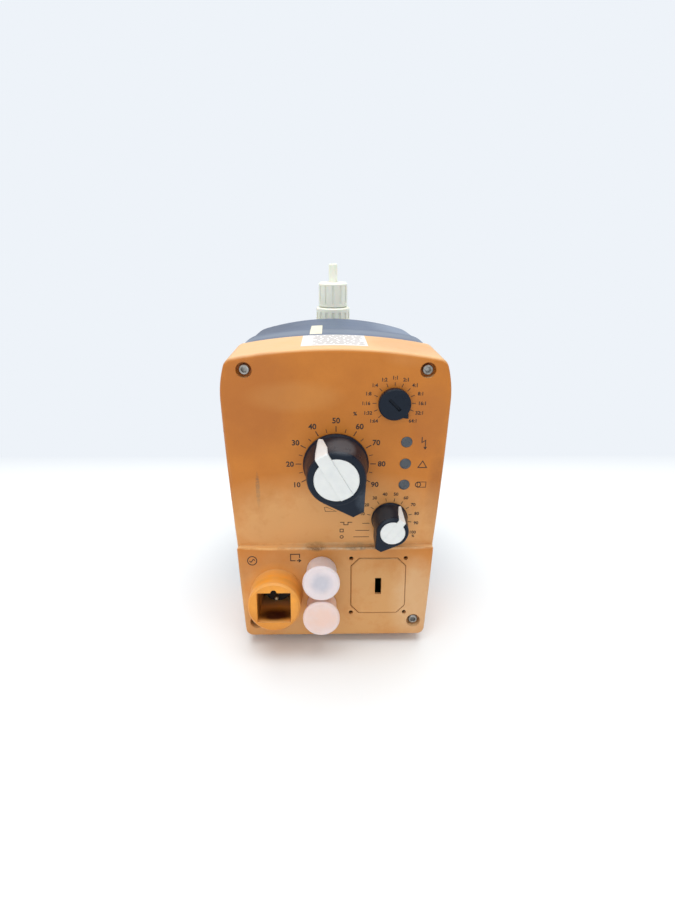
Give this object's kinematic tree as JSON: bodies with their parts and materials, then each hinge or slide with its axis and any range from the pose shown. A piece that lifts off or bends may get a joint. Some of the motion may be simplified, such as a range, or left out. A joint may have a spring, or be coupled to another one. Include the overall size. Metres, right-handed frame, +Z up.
{
  "type": "diaphragm metering pump",
  "caption": "Solenoid diaphragm metering pump: orange operator hood with stroke and function knobs, blue housing, valves at the rear.",
  "frame": {"origin": "centre of the foot's bolt pattern, on the foot's underside", "axes": "+Z up, the operator panel faces -Y, the liquid end is at +Y"},
  "size_m": [0.1112, 0.1842, 0.195],
  "materials": {
    "hood_plastic": "satin",
    "housing_plastic": "satin",
    "knob_plastic": "satin",
    "white_plastic": "satin",
    "cap_plastic": "satin",
    "insert_plastic": "matt",
    "lamp_lens": "satin",
    "liquid_end_plastic": "satin",
    "seal_rubber": "matt",
    "screw_steel": "satin",
    "contact_metal": "bright",
    "board_laminate": "satin",
    "board_components": "matt",
    "soft_iron": "machined",
    "copper_wire": "enamelled",
    "bush_bronze": "machined",
    "diaphragm_rubber": "matt",
    "ball_ceramic": "polished"
  },
  "bodies": {
    "pump": {"front_hood": "hood_plastic", "rear_housing": "housing_plastic", "housing_gasket": "seal_rubber", "hood_screws": "screw_steel", "knock_out_cover": "hood_plastic", "mains_insert": "insert_plastic", "mains_pins": "contact_metal", "control_socket": "insert_plastic", "level_socket": "insert_plastic", "socket_contacts": "contact_metal", "run_lamp": "lamp_lens", "warning_lamp": "lamp_lens", "fault_lamp": "lamp_lens", "pulse_switch": "insert_plastic", "function_switch": "insert_plastic", "control_board": "board_laminate", "board_screws": "screw_steel", "board_parts": "board_components", "power_board": "board_laminate", "power_parts": "board_components", "spindle_bush": "bush_bronze", "solenoid_shell": "soft_iron", "solenoid_cover": "soft_iron", "coil_bobbin": "insert_plastic", "coil_winding": "copper_wire", "pole_piece": "soft_iron", "guide_bushes": "bush_bronze", "return_spring": "screw_steel", "head_disc": "liquid_end_plastic", "diaphragm": "diaphragm_rubber", "dosing_head": "liquid_end_plastic", "head_screws": "screw_steel", "head_washers": "screw_steel", "bleed_nozzle": "liquid_end_plastic", "discharge_valve_body": "liquid_end_plastic", "discharge_valve_seat": "liquid_end_plastic", "discharge_valve_seals": "seal_rubber", "discharge_union_nut": "liquid_end_plastic", "discharge_hose_nozzle": "liquid_end_plastic", "suction_valve_body": "liquid_end_plastic", "suction_valve_seat": "liquid_end_plastic", "suction_valve_seals": "seal_rubber", "suction_union_nut": "liquid_end_plastic", "suction_hose_nozzle": "liquid_end_plastic"},
    "stroke_dial": {"stroke_knob": "knob_plastic", "stroke_knob_cap": "white_plastic"},
    "spindle": {"stroke_spindle": "screw_steel"},
    "function_dial": {"function_knob": "knob_plastic", "function_knob_cap": "white_plastic", "function_shaft": "white_plastic"},
    "pulse_dial": {"pulse_selector": "knob_plastic"},
    "plunger": {"armature": "soft_iron", "pressure_rod": "screw_steel"},
    "suction_ball": {"suction_valve_ball": "ball_ceramic"},
    "discharge_ball": {"discharge_valve_ball": "ball_ceramic"},
    "bleed_screw": {"bleed_spindle": "liquid_end_plastic", "bleed_knob": "knob_plastic"},
    "control_cap": {"control_socket_cap": "cap_plastic"},
    "level_cap": {"level_socket_cap": "cap_plastic"}
  },
  "joints": [
    {"name": "stroke_adjust", "type": "hinge", "parent": "pump", "child": "stroke_dial", "pos_m": [0, -0.084, 0.105], "axis": [0, 1, 0], "range_deg": [-120, 180]},
    {"name": "spindle_travel", "type": "slide", "parent": "stroke_dial", "child": "spindle", "axis": [0, -1, 0], "range_m": [-0.00051, 0.00076]},
    {"name": "function_select", "type": "hinge", "parent": "pump", "child": "function_dial", "pos_m": [0.0284, -0.084, 0.0735], "axis": [0, 1, 0], "range_deg": [-180, 90]},
    {"name": "pulse_select", "type": "hinge", "parent": "pump", "child": "pulse_dial", "pos_m": [0.0279, -0.084, 0.1368], "axis": [0, 1, 0], "range_deg": [-270, 0]},
    {"name": "armature_stroke", "type": "slide", "parent": "pump", "child": "plunger", "axis": [0, 1, 0], "range_m": [0, 0.00125], "stiffness_N_per_m": 3000, "springref_m": -0.002, "deforming": ["return_spring", "diaphragm"]},
    {"name": "suction_ball_lift", "type": "slide", "parent": "pump", "child": "suction_ball", "axis": [0, 0, 1], "range_m": [0, 0.0015]},
    {"name": "discharge_ball_lift", "type": "slide", "parent": "pump", "child": "discharge_ball", "axis": [0, 0, 1], "range_m": [0, 0.0015]},
    {"name": "bleed_turn", "type": "hinge", "parent": "pump", "child": "bleed_screw", "pos_m": [0, 0.065, 0.12], "axis": [0, 1, 0], "range_deg": [0, 180]},
    {"name": "control_cap_pull", "type": "slide", "parent": "pump", "child": "control_cap", "axis": [0, -0.9863, 0.165], "range_m": [0, 0.02]},
    {"name": "level_cap_pull", "type": "slide", "parent": "pump", "child": "level_cap", "axis": [0, -0.9863, 0.165], "range_m": [0, 0.02]}
  ],
  "couplings": [
    {"joint": "spindle_travel", "follows": "stroke_adjust", "m_per_rad": 0.00023873}
  ]
}
